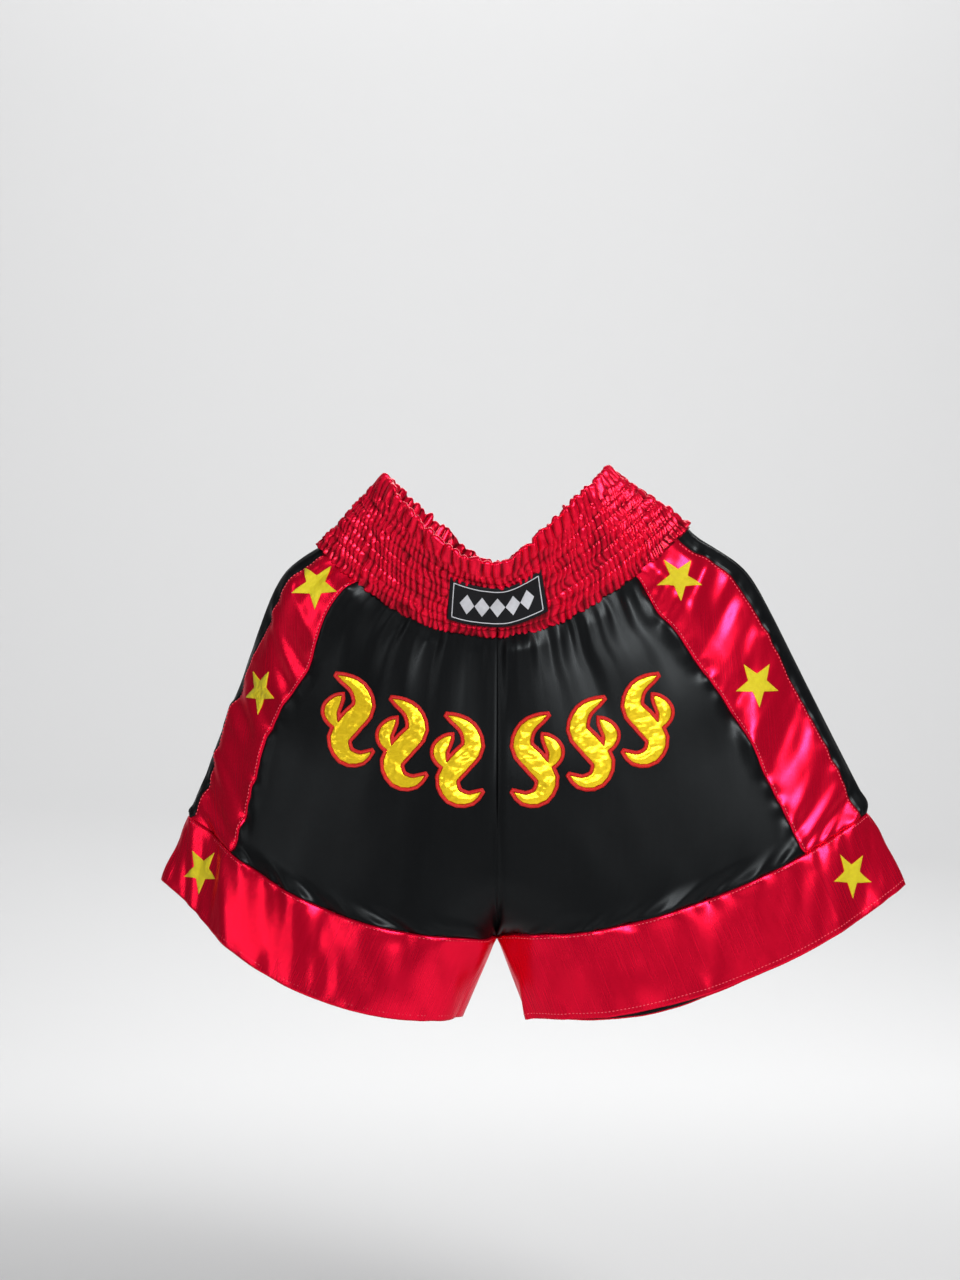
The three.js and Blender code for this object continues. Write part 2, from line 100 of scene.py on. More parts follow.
def section(half, v, angle, back):  # the shell at height share v, at an angle round from the centre line
    q = np.sin(angle)
    foldX, foldZ = foldLine(half, v)
    waist = pattern["waist"]
    startZ = waist["backZ"] if back else waist["frontZ"]
    centreZ = mix(startZ, pattern["crotchZ"] - pattern["hem"], v)
    sag = half["sag"] * 6.75 * q * (1 - q) ** 2 * v if back else 0
    innerX = mix(0, half["innerHemX"], np.maximum(0, (v - crotchV) / (1 - crotchV)))
    power = mix(half["waistPower"], half["hemPower"], v)
    curve = np.clip((v - pattern["curveStart"]) / (crotchV - pattern["curveStart"]), 0, 1)
    seat = 1 - curve ** pattern["seatCurve"]
    roll = np.sqrt(1 - (1 - np.minimum(q / pattern["innerRoll"], 1)) ** 2)
    hipY, waistY = (pattern["hipBackY"], waist["backY"]) if back else (pattern["hipFrontY"], waist["frontY"])
    centreY = mix(waistY, hipY, ease(0, 0.4, v))
    bulge = (centreY - pattern["crotchY"]) * np.cos(angle) * mix(roll, 1, seat)
    x = half["sign"] * (innerX + (foldX - innerX) * q)
    y = mix(pattern["crotchY"], half["foldY"] * ease(0.1, 0.5, v), q ** half["depthPower"]) + bulge
    z = centreZ + (foldZ - centreZ) * softPower(q, power) - sag
    return np.stack(np.broadcast_arrays(x, y, z), -1)


def topEdge(half, angle, back):
    q = np.sin(angle)
    top = pattern["top"]
    centreZ = top["backZ"] if back else top["frontZ"]
    x = half["sign"] * half["peak"][0] * q
    y = (top["backY"] if back else top["frontY"]) * np.cos(angle)
    power = half["topBack"] if back else half["topFront"]
    z = centreZ + (half["peak"][1] - centreZ) * softPower(q, power)
    return np.stack(np.broadcast_arrays(x, y, z), -1)


def measured(points):  # mm along each row of points, from its start
    steps = np.linalg.norm(np.diff(points, axis=-2), axis=-1)
    return np.concatenate([np.zeros(steps.shape[:-1] + (1,)), np.cumsum(steps, -1)], -1)


angles = np.linspace(0, math.pi / 2, 97)
shares = np.linspace(0, 1, 129)
heights = np.linspace(-0.02, 1.0, 160)
tables = {}
for sideName, half in halves.items():
    for back in (False, True):
        along = measured(section(half, heights[:, None], angles[None, :], back))
        rows = [np.interp(shares * row[-1], row, angles) for row in along]
        topAlong = measured(topEdge(half, angles, back))
        tables[sideName, back] = {"angle": np.array(rows), "width": along[:, -1],
                                  "top": np.interp(shares * topAlong[-1], topAlong, angles)}


def angleAt(side, back, v, share):
    table = tables[side, back]["angle"]
    i = np.clip((v - heights[0]) / (heights[1] - heights[0]), 0, len(heights) - 1.001)
    j = np.clip(share * (len(shares) - 1), 0, len(shares) - 1.001)
    i0, j0 = i.astype(int), j.astype(int)
    fi, fj = i - i0, j - j0
    low = mix(table[i0, j0], table[i0, j0 + 1], fj)
    return mix(low, mix(table[i0 + 1, j0], table[i0 + 1, j0 + 1], fj), fi)


def widthAt(side, v):
    return np.interp(v, heights, tables[side, False]["width"])


def shellAt(side, turn, v):  # turn is 0 at the centre front, 1 at the fold and 2 at the centre back
    turn, v = np.broadcast_arrays(np.asarray(turn, float), np.asarray(v, float))
    half = halves[side]
    front = section(half, v, angleAt(side, False, v, np.clip(turn, 0, 1)), False)
    back = section(half, v, angleAt(side, True, v, np.clip(2 - turn, 0, 1)), True)
    return np.where((turn > 1)[..., None], back, front)


def stripeWidth(side, share):  # the stripe is gathered in at the waist, and broad over the shoulder
    by, until = halves[side]["gathered"]
    return pattern["stripe"] - by * (1 - ease(0, until, share)) + halves[side]["wide"] * np.exp(
        -((share - 0.27) / 0.2) ** 2)


def turnAt(side, c, share):  # c is 0 to 1 on the front, to 2 on the stripe, to 3 at the fold, to 4 at the back
    width = widthAt(side, share * crotchV)
    toFold = mix(*halves[side]["toFold"], share)
    stripeBack = 1 - toFold / width
    stripeFront = 1 - (toFold + stripeWidth(side, share)) / width
    stripe = stripeFront + (c - 1) * (stripeBack - stripeFront)
    return np.where(c <= 1, c * stripeFront, np.where(c <= 2, stripe,
                    np.where(c <= 3, stripeBack + (c - 2) * (1 - stripeBack), c - 2)))


def hemSeam(side, turn):
    q = np.minimum(turn, 2 - turn)
    return 1 - mix(pattern["hem"], halves[side]["hemAtFold"], q * q) / mix(
        frontLength, foldLength(halves[side]), q * q)


def patternPoint(side, c, t):  # t is 0 at the waist seam, 1 at the hem band's seam and 2 at the hem's edge
    c, t = np.broadcast_arrays(np.asarray(c, float), np.asarray(t, float))
    turn = turnAt(side, c, np.clip(t, 0, 1))
    seam = hemSeam(side, turn)
    return shellAt(side, turn, np.where(t <= 1, t * seam, seam + (t - 1) * (1 - seam)))


def bandRest(side, c, up):  # up is 0 at the waist seam and 1 at the band's upper edge
    c, up = np.broadcast_arrays(np.asarray(c, float), np.asarray(up, float))
    turn = turnAt(side, c, np.zeros_like(c))
    half = halves[side]
    front = topEdge(half, np.interp(np.clip(turn, 0, 1), shares, tables[side, False]["top"]), False)
    back = topEdge(half, np.interp(np.clip(2 - turn, 0, 1), shares, tables[side, True]["top"]), True)
    top = np.where((turn > 1)[..., None], back, front)
    return mix(shellAt(side, turn, np.zeros_like(c)), top, up[..., None])


def valueNoise(x, y, seed):  # smooth noise from -1 to 1, one bump to a unit
    x, y = np.broadcast_arrays(np.asarray(x, float), np.asarray(y, float))
    ix, iy = np.floor(x).astype(np.int64), np.floor(y).astype(np.int64)
    fx, fy = x - ix, y - iy
    fx, fy = fx * fx * (3 - 2 * fx), fy * fy * (3 - 2 * fy)

    def corner(dx, dy):
        h = ((ix + dx) * 374761393 + (iy + dy) * 668265263 + seed * 974634777) & 0xFFFFFFFF
        h = ((h ^ (h >> 13)) * 1274126177) & 0xFFFFFFFF
        return ((h ^ (h >> 16)) & 0xFFFF) / 32767.5 - 1

    return mix(mix(corner(0, 0), corner(1, 0), fx), mix(corner(0, 1), corner(1, 1), fx), fy)


def cubicAt(grid, i, j):  # smooth sampling of a lattice of points, by fractional row and column
    def taps(x, count):
        x0 = np.clip(np.floor(x).astype(int), 0, count - 2)
        f = x - x0
        w = [(-f + 2 * f ** 2 - f ** 3) / 2, (2 - 5 * f ** 2 + 3 * f ** 3) / 2,
             (f + 4 * f ** 2 - 3 * f ** 3) / 2, (f ** 3 - f ** 2) / 2]
        return [(x0 + k - 1, w[k]) for k in range(4)]

    rows, columns = grid.shape[:2]
    padded = np.pad(grid, ((1, 1), (1, 1), (0, 0)), mode="reflect", reflect_type="odd")
    total = 0
    for ri, rw in taps(i, rows):
        for ci, cw in taps(j, columns):
            total = total + padded[ri + 1, ci + 1] * (rw * cw)[..., None]
    return total


def unit(v):
    return v / np.maximum(np.linalg.norm(v, axis=-1, keepdims=True), 1e-12)


def readPoints(mesh):
    points = np.zeros(len(mesh.vertices) * 3, np.float32)
    mesh.vertices.foreach_get("co", points)
    return points.reshape(-1, 3)


def writePoints(mesh, points):  # points are in mm
    mesh.vertices.foreach_set("co", (points * mm).astype(np.float32).ravel())


def meshFrom(bm, name):
    mesh = bpy.data.meshes.new(name)
    bm.to_mesh(mesh)
    bm.free()
    return mesh


def newObject(name, mesh):
    piece = bpy.data.objects.new(name, mesh)
    bpy.context.scene.collection.objects.link(piece)
    return piece


def gridPiece(name, columns, rows, points, uv, crease=None):  # a sheet of cells, laid on points[row, column]
    bm = bmesh.new()
    bmesh.ops.create_grid(bm, x_segments=columns, y_segments=rows, size=0.5)
    bm.verts.ensure_lookup_table()
    place = np.array([v.co for v in bm.verts])
    column = np.rint((place[:, 0] + 0.5) * columns).astype(int)
    row = np.rint((place[:, 1] + 0.5) * rows).astype(int)
    mesh = meshFrom(bm, name)
    writePoints(mesh, points[row, column])
    corners = np.zeros(len(mesh.loops), np.int32)
    mesh.loops.foreach_get("vertex_index", corners)
    layer = mesh.uv_layers.new(name="cloth")
    layer.data.foreach_set("uv", (uv[row, column][corners] * mm).astype(np.float32).ravel())
    # a per-point share of painted shade, which the material uses to darken the colour down between the gathers
    if crease is not None:
        depth = mesh.attributes.new("crease", "FLOAT", "POINT")
        depth.data.foreach_set("value", crease[row, column].astype(np.float32))
    mesh.shade_smooth()
    mesh.update()
    return newObject(name, mesh)


def thicken(piece, thickness, offset=-1):
    solid = piece.modifiers.new("Thickness", "SOLIDIFY")
    solid.thickness = thickness * mm
    solid.offset = offset
    solid.use_even_offset = False
    return piece


print("pattern ready")

# the shell as cloth: a coarse lattice of each half is draped, then sampled finely
drape = {
    "columns": (34, 10, 4, 38),  # cells on the front, the stripe, to the fold and on the back
    "bodyRows": 50, "hemRows": 12, "frames": 40, "quality": 6,
    "fullness": 0.22, "fullnessDepth": 80, "slack": 0.03,  # extra width gathered in at the waist, and all over
    "hold": 0.004, "foldHold": 0.9, "mass": 0.12, "bending": 0.15, "farthest": 9,
    "settleDown": 5.0, "settleAcross": 1.0,  # how far the folds are evened out, in cells
}


def latticeLines():
    c = [0.0]
    for k, count in enumerate(drape["columns"]):
        c += [k + (n + 1) / count for n in range(count)]
    t = np.concatenate([np.linspace(0, 1, drape["bodyRows"] + 1), np.linspace(1, 2, drape["hemRows"] + 1)[1:]])
    return np.array(c), t


latticeC, latticeT = latticeLines()
rest = {side: patternPoint(side, latticeC[None, :], latticeT[:, None]) for side in halves}


def evened(values, axis, spread):  # a running mean with soft ends
    reach = int(spread * 3)
    weights = np.exp(-(np.arange(-reach, reach + 1) / spread) ** 2 / 2)
    padded = np.moveaxis(values, axis, 0)
    padded = np.concatenate([np.repeat(padded[:1], reach, 0), padded, np.repeat(padded[-1:], reach, 0)])
    total = sum(w * padded[k:k + values.shape[axis]] for k, w in enumerate(weights))
    return np.moveaxis(total / weights.sum(), 0, axis)


def drapeShell():
    bm = bmesh.new()
    for side in halves:
        made = bmesh.ops.create_grid(bm, x_segments=len(latticeC) - 1, y_segments=len(latticeT) - 1, size=0.5)
        for v in made["verts"]:
            column = round((v.co.x + 0.5) * (len(latticeC) - 1))
            row = round((v.co.y + 0.5) * (len(latticeT) - 1))
            v.co = rest[side][row, column] * mm
    bmesh.ops.remove_doubles(bm, verts=bm.verts, dist=1.4 * mm)
    bmesh.ops.recalc_face_normals(bm, faces=bm.faces)
    shell = newObject("drapeShell", meshFrom(bm, "drapeShell"))
    start = readPoints(shell.data)
    tree = KDTree(len(start))
    for k, p in enumerate(start):
        tree.insert(p, k)
    tree.balance()
    index = {side: np.array([[tree.find(p * mm)[1] for p in row] for row in rest[side]]) for side in halves}
    print("lattice of", len(start))

    shell.shape_key_add(name="Basis")
    cut = shell.shape_key_add(name="Cut")
    wide = start.copy()
    hold = np.full(len(start), drape["hold"])
    for side in halves:
        for i, t in enumerate(latticeT):
            below = t * 260
            grow = 1 + drape["slack"] + drape["fullness"] * math.exp(-below / drape["fullnessDepth"])
            row = index[side][i]
            wide[row, 0] = start[row, 0] * grow
            wide[row, 1] = start[row, 1] * grow
            fold = np.exp(-((latticeC - 3) / 0.25) ** 2)
            hold[row] = np.maximum(hold[row], drape["foldHold"] * fold)
        hold[index[side][0]] = 1
        hold[index[side][1]] = 0.8
    cut.data.foreach_set("co", wide.astype(np.float32).ravel())
    group = shell.vertex_groups.new(name="hold")
    for k, w in enumerate(hold):
        group.add([k], float(w), "REPLACE")
    cloth = shell.modifiers.new("Drape", "CLOTH")
    s = cloth.settings
    s.quality = drape["quality"]
    s.mass = drape["mass"] / 1000
    s.tension_stiffness = s.compression_stiffness = 20
    s.shear_stiffness = 8
    s.bending_stiffness = drape["bending"]
    s.tension_damping = s.compression_damping = s.shear_damping = 8
    s.air_damping = 2
    s.vertex_group_mass = "hold"
    s.pin_stiffness = 1
    s.rest_shape_key = cut
    cloth.point_cache.frame_start = 1
    cloth.point_cache.frame_end = drape["frames"]
    scene = bpy.context.scene
    for f in range(1, drape["frames"] + 1):
        scene.frame_set(f)
    shaped = shell.evaluated_get(bpy.context.evaluated_depsgraph_get()).to_mesh()
    end = readPoints(shaped)
    scene.frame_set(1)
    moved = (end - start) / mm
    reach = np.linalg.norm(moved, axis=1, keepdims=True)
    print("drape moved at most", round(float(reach.max()), 1), "mm")
    limit = drape["farthest"] * np.tanh(reach / drape["farthest"])
    moved = moved * limit / np.maximum(reach, 1e-9)
    bpy.data.objects.remove(shell)
    field = {side: evened(evened(moved[index[side]], 0, drape["settleDown"]), 1, drape["settleAcross"])
             for side in halves}
    joined = latticeT < 1 - 1e-6
    for column in (0, -1):
        middle = (field["left"][joined, column] + field["right"][joined, column]) / 2
        for side in halves:
            shift = np.zeros_like(field[side])
            shift[joined] = (middle - field[side][joined, column])[:, None]
            reach = np.abs(np.arange(len(latticeC)) - (0 if column == 0 else len(latticeC) - 1))
            field[side] = field[side] + shift * np.exp(-(reach / 4) ** 2)[None, :, None]
    return {side: rest[side] + field[side] for side in halves}


draped = drapeShell()
print("shell draped")


def clothBase(side, c, t):
    i = np.interp(t, latticeT, np.arange(len(latticeT)))
    j = np.interp(c, latticeC, np.arange(len(latticeC)))
    return cubicAt(draped[side], i, j)


def clothNormal(side, c, t):
    dc, dt = 0.02, 0.012
    across = clothBase(side, np.clip(c + dc, 0, 4), t) - clothBase(side, np.clip(c - dc, 0, 4), t)
    down = clothBase(side, c, np.clip(t + dt, 0, 2)) - clothBase(side, c, np.clip(t - dt, 0, 2))
    return unit(np.cross(down, across)) * halves[side]["sign"]


far = 99  # mm, where no seam is near


def clothSize(side, c, t):  # mm round from the nearer centre line, mm down, and mm to each seam
    share = np.clip(t, 0, 1)
    width = widthAt(side, share * crotchV)
    turn = turnAt(side, c, share)
    across = np.where(turn > 1, 2 - turn, turn) * width
    bodyLength = frontLength - pattern["hem"]
    down = np.where(t <= 1, t * bodyLength, bodyLength + (t - 1) * pattern["hem"])
    toFold = mix(*halves[side]["toFold"], share)
    stripeBack = width - toFold
    front = turn <= 1
    stripeFront = stripeBack - stripeWidth(side, share)
    toStripe = np.where(front, np.minimum(abs(across - stripeBack), abs(across - stripeFront)), far)
    return across, down, np.where(t <= 1, toStripe, far), abs(down - bodyLength)


gathers = {  # folds that fan out below the waist: height, width, length and fade, in mm
    "fine": (1.1, 3.2, 60, 14), "middle": (3.0, 7.0, 150, 36), "broad": (3.4, 14, 240, 95),
    "slow": (2.4, 34, 320, 400),
}
puckers = {"height": 1.5, "pitch": 7.5, "reach": 7, "groove": 0.7, "grooveWidth": 1.3, "press": 1.7}
crumples = {  # soft dents: height, length along and length across, in mm
    "stripe": ((3.6, 30, 42), (1.3, 13, 22)), "hem": ((4.2, 30, 70), (1.7, 15, 34), (0.7, 8, 24)),
    "panel": ((1.7, 58, 120), (0.5, 20, 46)),
}


def ripple(side, c, t):
    seed = 11 if side == "left" else 47
    across, down, toStripe, toHem = clothSize(side, c, t)
    waistAcross = turnAt(side, c, np.zeros_like(t)) * widthAt(side, 0)
    total = 0
    for k, (height, wide, long, fade) in enumerate(gathers.values()):
        total = total + height * valueNoise(waistAcross / wide, down / long, seed + k) * np.exp(-down / fade)
    inStripe = ease(-14, 2, np.where((c >= 1) & (c <= 2), toStripe, -toStripe)) * (t <= 1)
    inHem = ease(-16, 2, np.where(t >= 1, toHem, -toHem))
    for k, (high, long, wide) in enumerate(crumples["stripe"]):
        total = total + high * inStripe * (1 - inHem) * valueNoise((down + 0.5 * across) / long, across / wide,
                                                                   seed + 20 + k)
    for k, (high, long, wide) in enumerate(crumples["hem"]):
        total = total + high * inHem * valueNoise((across + 0.4 * down) / long, down / wide, seed + 30 + k)
    for k, (high, long, wide) in enumerate(crumples["panel"]):
        total = total + high * valueNoise((across - 0.3 * down) / long, down / wide, seed + 40 + k)
    seams = np.minimum(toStripe, toHem)
    near = np.exp(-((seams / puckers["reach"]) ** 2)) * (0.4 + 0.6 * np.maximum(inStripe, inHem))
    along = np.where(toStripe < toHem, down, across)
    total = total + puckers["height"] * near * valueNoise(along / puckers["pitch"], seams / 14, seed + 9)
    edge = (2 - t) * pattern["hem"]
    total = total + 0.9 * np.exp(-((edge / 13) ** 2)) * valueNoise(across / 9, edge / 26, seed + 12)
    centre = np.minimum(across, 60)
    total = total * ease(0, 9, centre + 1.5)
    total = total - puckers["groove"] * np.exp(-((seams / puckers["grooveWidth"]) ** 2))
    atCentre = np.exp(-((across / puckers["grooveWidth"]) ** 2)) * ease(1.06, 1.0, t)
    groove = puckers["groove"] - puckers["press"] * ease(0.5, 0.72, t)  # it closes towards the crotch
    total = total - groove * atCentre
    return total * ease(-6, 14, down)


def surface(side, c, t, offset=0.0):
    c, t = np.broadcast_arrays(np.asarray(c, float), np.asarray(t, float))
    lift = ripple(side, c, t) + offset
    return clothBase(side, c, t) + clothNormal(side, c, t) * lift[..., None]


def clothPiece(name, side, cRange, tRange, step, offset=0.2, thickness=0.45):
    wide = np.linalg.norm(np.diff(clothBase(side, np.linspace(*cRange, 40), np.full(40, max(tRange))), axis=0),
                          axis=1).sum()
    middle = clothBase(side, np.full(40, sum(cRange) / 2), np.linspace(*tRange, 40))
    long = np.linalg.norm(np.diff(middle, axis=0), axis=1).sum()
    columns, rows = max(4, round(wide / step)), max(3, round(long / step))
    c, t = np.meshgrid(np.linspace(*cRange, columns + 1), np.linspace(*tRange, rows + 1))
    points = surface(side, c, t, offset)
    across, down = clothSize(side, c, t)[:2]
    piece = gridPiece(name, columns, rows, points, np.stack([across, -down], -1))
    mesh = piece.data
    centreNormal = mesh.polygons[len(mesh.polygons) // 2 + columns // 2].normal
    there = clothNormal(side, np.array([sum(cRange) / 2]), np.array([sum(tRange) / 2]))[0]
    if centreNormal.dot(Vector(there)) < 0:
        mesh.flip_normals()
    thicken(piece, thickness)
    return piece


fabric = {"step": 1.5, "hemStep": 1.5}
shellPieces = {}
for side in halves:
    for name, cRange in (("front_panel", (0, 1)), ("side_stripe", (1, 2)), ("back_panel", (2, 4))):
        shellPieces[name, side] = clothPiece(name + "_cloth_" + side, side, cRange, (0, 1), fabric["step"])
    for face, cRange in (("front", (0, 3)), ("back", (3, 4))):
        shellPieces["hem_band_" + face, side] = clothPiece(
            "hem_band_" + face + "_cloth_" + side, side, cRange, (1, 2), fabric["hemStep"])
        shellPieces["hem_facing_" + face, side] = clothPiece(
            "hem_facing_" + face + "_cloth_" + side, side, cRange, (1.03, 1.985), 2.4, offset=-0.75)
print("panels laid")

def addNode(tree, kind, settings=None, inputs=None):
    node = tree.nodes.new("ShaderNode" + kind)
    for name, value in (settings or {}).items():
        setattr(node, name, value)
    for name, value in (inputs or {}).items():
        node.inputs[name].default_value = value
    return node


def wire(tree, *pairs):
    for a, b in pairs:
        tree.links.new(a, b)


def makeGroup(name, sockets, build):
    group = bpy.data.node_groups.new(name, "ShaderNodeTree")
    for label, kind, way, value in sockets:
        socket = group.interface.new_socket(label, in_out=way, socket_type="NodeSocket" + kind)
        if value is not None:
            socket.default_value = value
    build(group, group.nodes.new("NodeGroupInput").outputs, group.nodes.new("NodeGroupOutput").inputs)
    return group


def buildWeave(group, given, made):  # satin floats: fine slanting bands, with slubs, as a height
    scale = addNode(group, "VectorMath", {"operation": "SCALE"})
    wave = addNode(group, "TexWave", {"bands_direction": "DIAGONAL"}, {"Distortion": 0.6, "Scale": 1.0})
    slub = addNode(group, "TexNoise", None, {"Scale": 0.7, "Detail": 3})
    blend = addNode(group, "Math", {"operation": "MULTIPLY_ADD"}, {1: 0.6})
    wire(group, (given["Vector"], scale.inputs[0]), (given["Threads"], scale.inputs["Scale"]),
         (scale.outputs[0], wave.inputs["Vector"]), (scale.outputs[0], slub.inputs["Vector"]),
         (wave.outputs["Fac"], blend.inputs[0]), (slub.outputs["Fac"], blend.inputs[2]),
         (blend.outputs[0], made["Height"]))


def buildTone(group, given, made):  # uneven dye and rubbed high spots, as a colour and a roughness
    cloud = addNode(group, "TexNoise", None, {"Scale": 14, "Detail": 5})
    streak = addNode(group, "Mapping", None, {"Scale": (420, 26, 420)})
    thread = addNode(group, "TexNoise", None, {"Scale": 1})
    half = addNode(group, "Math", {"operation": "MULTIPLY"}, {1: 0.5})
    both = addNode(group, "Math", {"operation": "MULTIPLY_ADD"}, {1: 0.5})
    colour = addNode(group, "Mix", {"data_type": "RGBA"})
    rough = addNode(group, "MapRange", None, {"To Min": -0.05, "To Max": 0.05})
    total = addNode(group, "Math")
    wire(group, (given["Place"], cloud.inputs["Vector"]), (given["Vector"], streak.inputs["Vector"]),
         (streak.outputs[0], thread.inputs["Vector"]), (thread.outputs["Fac"], half.inputs[0]),
         (cloud.outputs["Fac"], both.inputs[0]), (half.outputs[0], both.inputs[2]),
         (both.outputs[0], colour.inputs[0]), (given["Deep"], colour.inputs[6]),
         (given["Bright"], colour.inputs[7]), (colour.outputs[2], made["Colour"]),
         (both.outputs[0], rough.inputs["Value"]), (rough.outputs[0], total.inputs[0]),
         (given["Roughness"], total.inputs[1]), (total.outputs[0], made["Roughness"]))


weaveGroup = makeGroup("satinFloats", [
    ("Vector", "Vector", "INPUT", None), ("Threads", "Float", "INPUT", 1000),
    ("Height", "Float", "OUTPUT", None),
], buildWeave)
toneGroup = makeGroup("dyeAndWear", [
    ("Vector", "Vector", "INPUT", None), ("Place", "Vector", "INPUT", None), ("Deep", "Color", "INPUT", None),
    ("Bright", "Color", "INPUT", None), ("Roughness", "Float", "INPUT", 0.4),
    ("Colour", "Color", "OUTPUT", None), ("Roughness", "Float", "OUTPUT", None),
], buildTone)


def makeMaterial(name, finish):
    material = bpy.data.materials.new(name)
    material.use_nodes = True
    tree = material.node_tree
    shader = tree.nodes["Principled BSDF"]
    place = source = addNode(tree, "TexCoord").outputs["Object"]
    if finish.get("uv", True):
        source = addNode(tree, "UVMap", {"uv_map": "cloth"}).outputs[0]
        if finish.get("anisotropic"):
            tangent = addNode(tree, "Tangent", {"direction_type": "UV_MAP", "uv_map": "cloth"})
            wire(tree, (tangent.outputs[0], shader.inputs["Tangent"]))
    tone = addNode(tree, "Group", {"node_tree": toneGroup}, {
        "Deep": (*finish["deep"], 1), "Bright": (*finish["bright"], 1), "Roughness": finish["roughness"]})
    weave = addNode(tree, "Group", {"node_tree": weaveGroup}, {"Threads": finish["threads"]})
    bump = addNode(tree, "Bump", None, {"Strength": finish["relief"], "Distance": finish["depth"] * mm})
    colour = tone.outputs["Colour"]
    if "crease" in finish:  # the red is painted darker down between the gathers, as painted shade in the creases
        depth = addNode(tree, "Attribute", {"attribute_name": "crease"})
        shade = addNode(tree, "Mix", {"data_type": "RGBA"}, {7: (*finish["crease"], 1)})
        wire(tree, (depth.outputs["Fac"], shade.inputs[0]), (colour, shade.inputs[6]))
        colour = shade.outputs[2]
    wire(tree, (source, tone.inputs["Vector"]), (place, tone.inputs["Place"]), (source, weave.inputs["Vector"]),
         (weave.outputs["Height"], bump.inputs["Height"]), (bump.outputs[0], shader.inputs["Normal"]),
         (colour, shader.inputs["Base Color"]), (tone.outputs["Roughness"], shader.inputs["Roughness"]))
    shader.inputs["Metallic"].default_value = finish.get("metallic", 0)
    shader.inputs["Specular IOR Level"].default_value = finish.get("specular", 0.5)
    shader.inputs["Specular Tint"].default_value = (*finish.get("glint", (1, 1, 1)), 1)
    shader.inputs["Anisotropic"].default_value = finish.get("anisotropic", 0)
    return material


redSatin = {"slot": "red_satin", "deep": (0.66, 0.001, 0.020), "bright": (0.92, 0.004, 0.042), "roughness": 0.27,
            "threads": 2600, "relief": 0.25, "depth": 0.06, "anisotropic": 0.35, "metallic": 0.78,
            "glint": (1, 0.5, 0.55)}
thread = {"slot": "red_thread", "uv": False, "roughness": 0.5, "specular": 0.4}
finishes = {
    "redSatin": redSatin,
    # the gathered satin's crease colour is painted shade, laid down between the gathers
    "gatheredSatin": {**redSatin, "crease": (0.11, 0.0, 0.003), "metallic": 0.6},
    "blackSatin": {"slot": "black_satin", "deep": (0.0008, 0.0009, 0.0011), "bright": (0.0025, 0.0026, 0.003),
                   "roughness": 0.38, "threads": 2600, "relief": 0.25, "depth": 0.06, "anisotropic": 0.35,
                   "specular": 0.17, "glint": (0.9, 0.97, 1.0)},
    "goldSatin": {"slot": "gold_satin", "uv": False, "deep": (0.66, 0.40, 0.004), "bright": (1.0, 0.76, 0.02),
                  "roughness": 0.32, "threads": 2200, "relief": 0.3, "depth": 0.08, "metallic": 0.6,
                  "glint": (1, 0.95, 0.6)},
    "redThread": {**thread, "deep": (0.45, 0.004, 0.006), "bright": (0.85, 0.020, 0.015), "roughness": 0.45,
                  "threads": 1500, "relief": 0.9, "depth": 0.3},
    "yellowThread": {**thread, "slot": "yellow_thread", "deep": (0.70, 0.52, 0.004), "bright": (1.0, 0.88, 0.03),
                     "threads": 1300, "relief": 1.0, "depth": 0.4},
    "seamThread": {**thread, "slot": "red_satin", "deep": (0.70, 0.04, 0.07), "bright": (0.95, 0.16, 0.22),
                   "threads": 4000, "relief": 0.5, "depth": 0.1},
    "silverThread": {**thread, "slot": "woven_label", "deep": (0.42, 0.43, 0.46), "bright": (0.75, 0.76, 0.80),
                     "roughness": 0.45, "specular": 0.5, "threads": 2400, "relief": 0.7, "depth": 0.15},
    "labelWeave": {"slot": "woven_label", "uv": False, "deep": (0.002, 0.002, 0.003),
                   "bright": (0.006, 0.007, 0.010), "roughness": 0.6, "threads": 2800, "relief": 0.6,
                   "depth": 0.15, "specular": 0.25},
    "elasticTape": {"slot": "elastic", "deep": (0.62, 0.60, 0.55), "bright": (0.85, 0.83, 0.78), "roughness": 0.8,
                    "threads": 1600, "relief": 0.8, "depth": 0.2, "specular": 0.3},
}
materials = {name: makeMaterial(name, finish) for name, finish in finishes.items()}


def dress(piece, material, node=None):
    piece.data.materials.clear()
    piece.data.materials.append(materials[material])
    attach(piece, "root")
    if node:
        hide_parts(node)


for (name, side), piece in shellPieces.items():
    red = name in ("side_stripe", "hem_band_front", "hem_band_back")
    dress(piece, "redSatin" if red else "blackSatin", name + "_" + side)
print("materials ready")

# the waistband: satin gathered on seven rows of elastic
shirring = {
    "pitch": 4.4, "fine": 2.6, "headerPitch": 7.4, "puff": 3.1, "innerPuff": 1.3, "headerPuff": 3.2, "flat": 0.7,
    "stitchDip": 0.3, "lean": 0.3, "lower": 5, "header": 10, "step": 0.8, "outerRows": 84, "foldRows": 6,
    "innerRows": 40, "ruffle": 1.6, "ruffleRise": 1.6, "hemRuffle": 1.3, "thickness": 0.3,
    "seed": 500,
}


# a runs from the right fold (-3) over the centre front (0) and left fold (3) to the back (4, 5)
def lapSides(a):
    return (a < 0) | (a > 4), np.where(a <= 4, abs(a), 8 - a)


def bandAt(a, up):
    onRight, c = lapSides(a)
    return np.where(onRight[..., None], bandRest("right", c, up), bandRest("left", c, up))


def bandNormal(a, up):
    da, du = 0.01, 0.01
    across = bandAt(a + da, up) - bandAt(a - da, up)
    upward = bandAt(a, up + du) - bandAt(a, up - du)
    return unit(np.cross(across, upward))


lapRange = np.linspace(-3, 5, 1601)
lapLength = measured(bandAt(lapRange, np.full(1601, 0.5)))  # mm round the band at its middle


def bandHeight(a):
    return np.linalg.norm(bandAt(a, np.ones_like(a)) - bandAt(a, np.zeros_like(a)), axis=-1)


